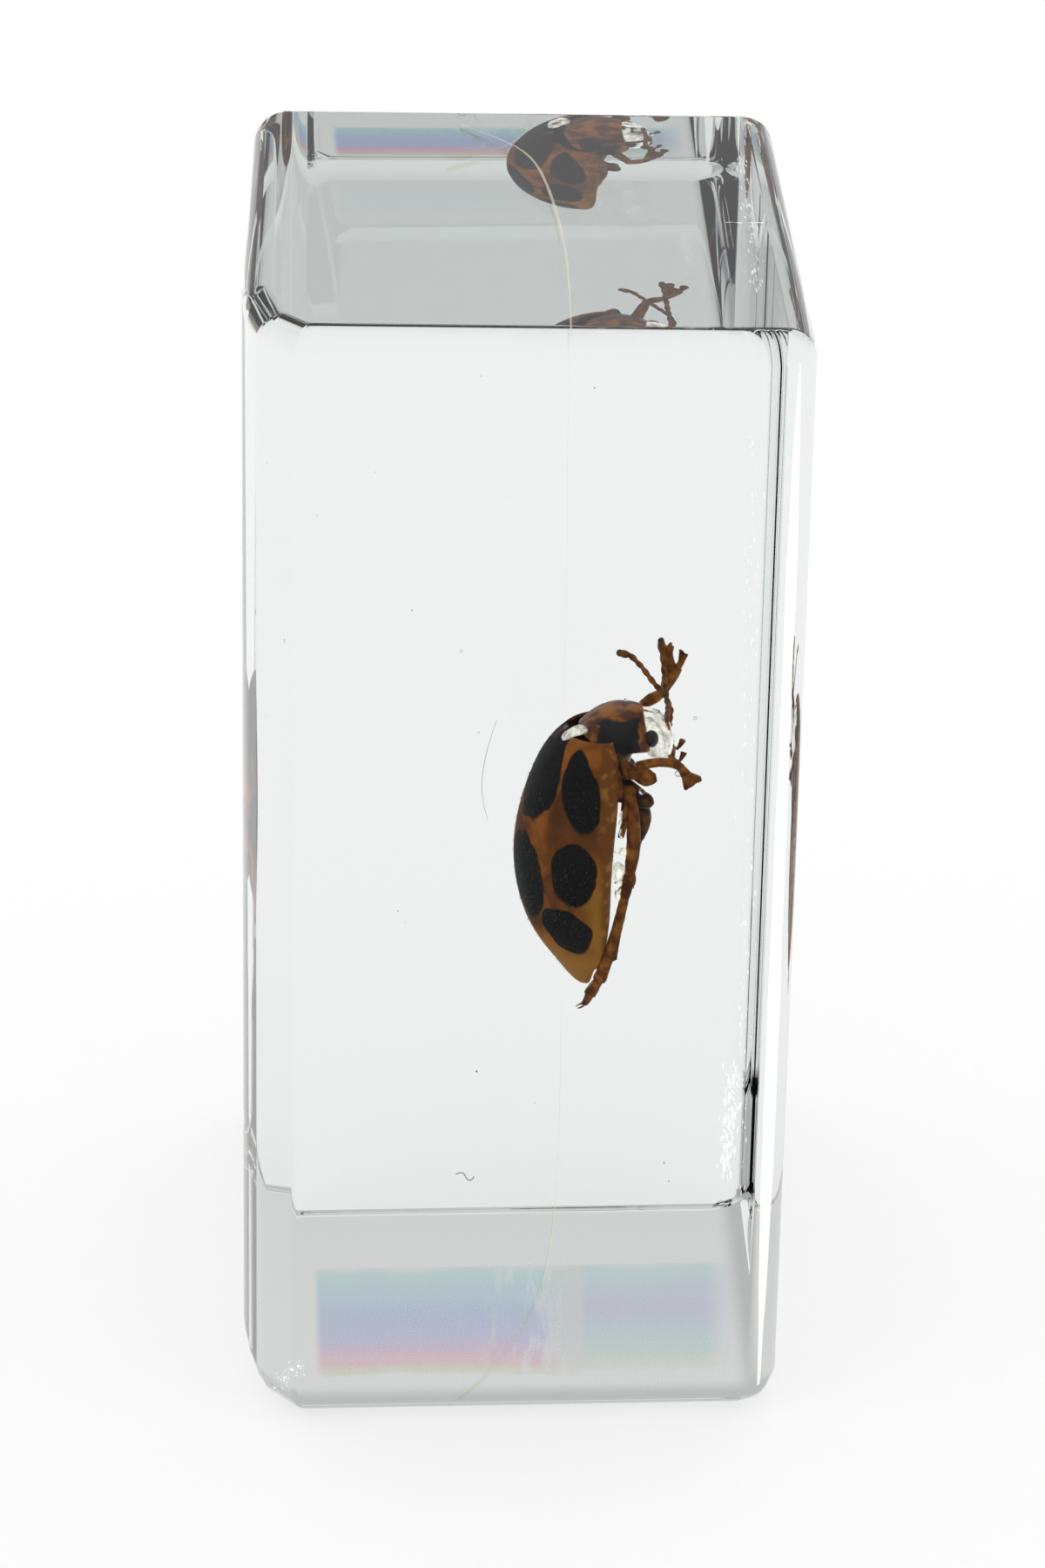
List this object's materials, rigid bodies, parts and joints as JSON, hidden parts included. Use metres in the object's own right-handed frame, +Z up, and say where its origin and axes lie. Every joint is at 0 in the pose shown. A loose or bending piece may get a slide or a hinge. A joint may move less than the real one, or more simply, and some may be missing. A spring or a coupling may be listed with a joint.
{
  "type": "insect in resin block",
  "caption": "Clear upright resin block with softly rounded edges, holding a sealed spotted ladybird beetle, standing on its flat polished base.",
  "frame": {"origin": "centre of the bottom of the block's bounding box, on the plane the block stands on", "axes": "+Z up along the block's long side, -Y the narrow face the beetle is seen from in profile, -X the side of the beetle's back, +X the side of its belly"},
  "size_m": [0.0216, 0.028, 0.0442],
  "materials": {
    "clear_resin": "polished clear casting resin",
    "pour_seam": "faint yellow film where two pours of resin meet, and the flaws sealed along it",
    "beetle_shell": "orange-brown beetle shell with black spots, finely punctured and downy",
    "beetle_limbs": "dark brown chitin of head, legs, feelers and belly"
  },
  "bodies": {
    "root": {"resin_block": "clear_resin"}
  },
  "joints": []
}
